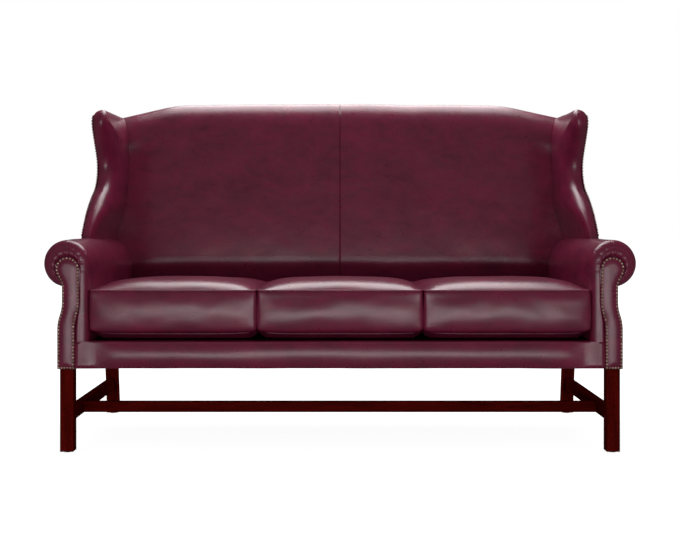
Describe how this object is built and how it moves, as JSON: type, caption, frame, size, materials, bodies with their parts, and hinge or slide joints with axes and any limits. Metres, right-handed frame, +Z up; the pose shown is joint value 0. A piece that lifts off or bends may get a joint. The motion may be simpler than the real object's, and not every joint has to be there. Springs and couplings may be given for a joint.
{
  "type": "wing-back sofa",
  "caption": "High-backed wing sofa in buttonless leather with scrolled nailed arms, loose seat cushions and a dark wood stretcher base.",
  "frame": {"origin": "on the floor under the middle of the sofa", "axes": "+X to the right as seen from the front, -Y to the front, +Z up"},
  "size_m": [1.862, 0.8159, 1.18],
  "materials": {
    "burgundy_leather": "satin",
    "mahogany": "satin",
    "frame_wood": "matte",
    "antique_brass": "satin",
    "glide_plastic": "matte",
    "stuffing": "matte",
    "lining_cloth": "matte",
    "jute_webbing": "matte"
  },
  "bodies": {
    "frame": {"arm_cover_left": "burgundy_leather", "arm_cover_right": "burgundy_leather", "arm_facing_left": "burgundy_leather", "arm_facing_right": "burgundy_leather", "arm_padding_left": "stuffing", "arm_padding_right": "stuffing", "arm_post_left": "frame_wood", "arm_post_right": "frame_wood", "arm_top_rail_left": "frame_wood", "arm_top_rail_right": "frame_wood", "back_post_left": "frame_wood", "back_post_right": "frame_wood", "back_stay_rail": "frame_wood", "back_top_rail": "frame_wood", "back_uprights": "frame_wood", "back_webbing": "jute_webbing", "corner_blocks": "frame_wood", "dust_cover": "lining_cloth", "facing_nails_left": "antique_brass", "facing_nails_right": "antique_brass", "foot_glides": "glide_plastic", "front_border": "burgundy_leather", "front_leg_left": "mahogany", "front_leg_right": "mahogany", "front_seat_rail": "frame_wood", "inside_back_cover_left": "burgundy_leather", "inside_back_cover_right": "burgundy_leather", "inside_back_padding": "stuffing", "medial_stretcher": "mahogany", "outside_arm_panel_left": "burgundy_leather", "outside_arm_panel_right": "burgundy_leather", "outside_back_panel": "burgundy_leather", "outside_wing_panel_left": "burgundy_leather", "outside_wing_panel_right": "burgundy_leather", "rear_leg_left": "mahogany", "rear_leg_right": "mahogany", "rear_seat_rail": "frame_wood", "seat_cross_rails": "frame_wood", "seat_deck": "lining_cloth", "seat_webbing": "jute_webbing", "side_seat_rail_left": "frame_wood", "side_seat_rail_right": "frame_wood", "side_stretcher_left": "mahogany", "side_stretcher_right": "mahogany", "wing_board_left": "frame_wood", "wing_board_right": "frame_wood", "wing_cover_left": "burgundy_leather", "wing_cover_right": "burgundy_leather", "wing_nails_left": "antique_brass", "wing_nails_right": "antique_brass", "wing_padding_left": "stuffing", "wing_padding_right": "stuffing"},
    "cushion_left": {"seat_cushion_cover_left": "burgundy_leather", "seat_cushion_filling_left": "stuffing"},
    "cushion_centre": {"seat_cushion_cover_centre": "burgundy_leather", "seat_cushion_filling_centre": "stuffing"},
    "cushion_right": {"seat_cushion_cover_right": "burgundy_leather", "seat_cushion_filling_right": "stuffing"}
  },
  "joints": [
    {"name": "cushion_left_lift", "type": "slide", "parent": "frame", "child": "cushion_left", "axis": [0, 0, 1], "range_m": [0, 0.33]},
    {"name": "cushion_centre_lift", "type": "slide", "parent": "frame", "child": "cushion_centre", "axis": [0, 0, 1], "range_m": [0, 0.33]},
    {"name": "cushion_right_lift", "type": "slide", "parent": "frame", "child": "cushion_right", "axis": [0, 0, 1], "range_m": [0, 0.33]}
  ]
}
